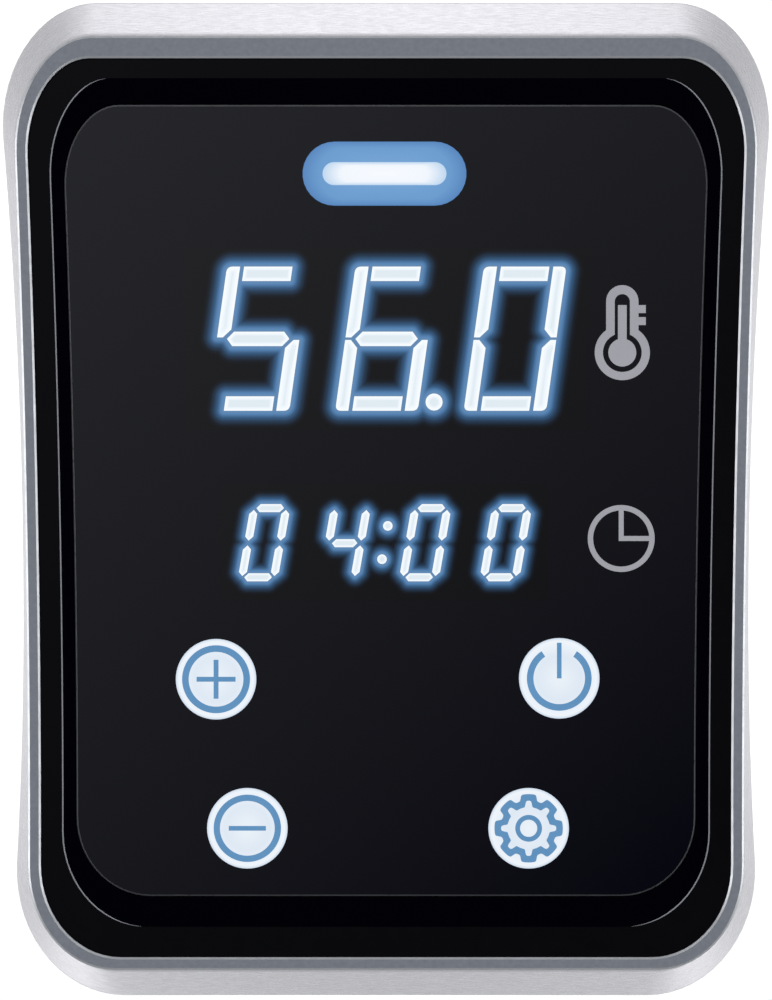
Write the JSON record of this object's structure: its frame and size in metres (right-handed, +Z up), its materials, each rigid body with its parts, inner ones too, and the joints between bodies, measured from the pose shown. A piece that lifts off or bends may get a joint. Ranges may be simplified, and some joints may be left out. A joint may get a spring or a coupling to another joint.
{
  "type": "sous vide circulator",
  "caption": "Upright immersion circulator with a lit touch face on top, a flared steel head, a slotted immersion tube and a screw clamp for a pot wall.",
  "frame": {"origin": "centre of the foot's flat face, on the immersion tube's axis", "axes": "+Z up the stick to the control face, -Y towards the user, +Y towards the pot clamp"},
  "size_m": [0.0869, 0.1189, 0.366],
  "materials": {
    "sleeve_steel": "brushed along the stick, satin",
    "skirt_steel": "fine circular brush",
    "rim_grey": "satin dark grey anodised look",
    "bezel_black": "high gloss black",
    "glass_black": "black backed toughened glass",
    "key_white": "white light guide, lit",
    "bar_blue": "blue light guide, lit",
    "bar_white": "white light guide, lit",
    "housing_black": "fine moulded texture",
    "trim_grey": "satin",
    "foot_black": "fine moulded texture",
    "clamp_black": "glass filled nylon",
    "knob_black": "moulded, scalloped",
    "pad_rubber": "soft, matt",
    "steel_plain": "drawn stainless rod",
    "brass_insert": "turned",
    "board_green": "solder mask",
    "inner_plastic": "natural nylon",
    "display_block": "black potted display module",
    "copper_coil": "enamelled copper winding",
    "motor_steel": "zinc plated",
    "sink_aluminium": "extruded"
  },
  "bodies": {
    "stick": {"head_sleeve": "sleeve_steel", "neck_band": "housing_black", "neck_trim": "trim_grey", "housing_tube": "housing_black", "vent_baffle": "housing_black", "rim_ring": "rim_grey", "display_bezel": "bezel_black", "glass_gasket": "pad_rubber", "cover_glass": "glass_black", "plus_key": "key_white", "power_key": "key_white", "minus_key": "key_white", "settings_key": "key_white", "light_bar_lens": "bar_blue", "light_bar_core": "bar_white", "temperature_display": "display_block", "timer_display": "display_block", "display_board": "board_green", "touch_springs": "steel_plain", "buzzer": "display_block", "board_screws": "steel_plain", "inner_frame": "inner_plastic", "power_board": "board_green", "capacitors": "motor_steel", "transformer": "display_block", "heat_sink": "sink_aluminium", "cable_gland": "housing_black", "gland_nut": "housing_black", "bulkhead": "inner_plastic", "bulkhead_o_ring": "pad_rubber", "shaft_seal": "pad_rubber", "heater_loops": "steel_plain", "temperature_probe": "steel_plain", "level_rods": "steel_plain", "thermal_cutout": "display_block", "support_rods": "steel_plain", "shaft_spider": "inner_plastic", "shaft_bush": "inner_plastic", "motor_can": "motor_steel", "motor_stator": "copper_coil", "motor_bearings": "steel_plain", "motor_plate": "inner_plastic", "motor_posts": "steel_plain"},
    "rotor": {"motor_shaft": "steel_plain", "impeller_shaft": "steel_plain", "shaft_coupling": "brass_insert", "rotor_core": "motor_steel", "cooling_fan": "inner_plastic", "impeller": "foot_black"},
    "skirt": {"skirt_tube": "skirt_steel", "skirt_collar": "housing_black"},
    "foot": {"foot_cap": "foot_black"},
    "clamp": {"clamp_bracket": "clamp_black", "clamp_liner": "inner_plastic", "thread_insert": "brass_insert", "pot_pad": "pad_rubber"},
    "press": {"press_pad": "pad_rubber"},
    "hand_screw": {"clamp_screw": "steel_plain", "clamp_knob": "knob_black"},
    "lock": {"lock_knob": "knob_black"}
  },
  "joints": [
    {"name": "rotor_spin", "type": "hinge", "parent": "stick", "child": "rotor", "pos_m": [0, 0, 0.206], "axis": [0, 0, 1], "continuous": true},
    {"name": "skirt_off", "type": "slide", "parent": "stick", "child": "skirt", "axis": [0, 0, -1], "range_m": [0, 0.15]},
    {"name": "foot_twist", "type": "hinge", "parent": "skirt", "child": "foot", "pos_m": [0, 0, 0.01], "axis": [0, 0, 1], "range_deg": [0, 35]},
    {"name": "clamp_height", "type": "slide", "parent": "stick", "child": "clamp", "axis": [0, 0, 1], "range_m": [-0.026, 0.026]},
    {"name": "press_slide", "type": "slide", "parent": "clamp", "child": "press", "axis": [0, 1, 0], "range_m": [-0.0036, 0.0049]},
    {"name": "screw_turn", "type": "hinge", "parent": "press", "child": "hand_screw", "pos_m": [0, 0.06205, 0.19], "axis": [0, 1, 0], "range_deg": [-840, 1170]},
    {"name": "lock_turn", "type": "hinge", "parent": "clamp", "child": "lock", "pos_m": [0.03695, 0, 0.215], "axis": [1, 0, 0], "range_deg": [-60, 360]}
  ],
  "couplings": [
    {"joint": "press_slide", "follows": "screw_turn", "m_per_rad": 0.00023873}
  ]
}
